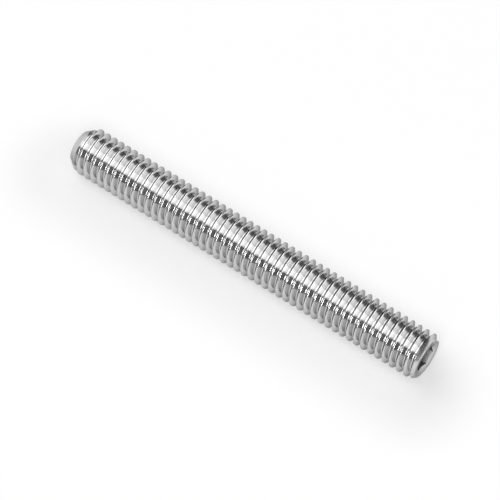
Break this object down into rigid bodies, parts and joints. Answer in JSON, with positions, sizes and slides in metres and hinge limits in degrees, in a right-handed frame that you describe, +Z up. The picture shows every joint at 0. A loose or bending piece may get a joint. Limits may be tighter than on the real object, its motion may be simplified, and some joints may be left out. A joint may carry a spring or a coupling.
{
  "type": "hexagon socket set screw",
  "caption": "Headless set screw, threaded over its whole length, with a hexagon socket in its chamfered end and a coned flat point, for locking a part onto a shaft.",
  "frame": {"origin": "centre of the flat point's face, on the screw's axis", "axes": "+X along the axis from the flat point to the socket end, +Z up from the surface that the screw lies on"},
  "size_m": [0.05, 0.006, 0.006],
  "materials": {
    "steel": "bright plain steel with rolled threads and turned ends"
  },
  "bodies": {
    "root": {"set_screw": "steel"}
  },
  "joints": []
}
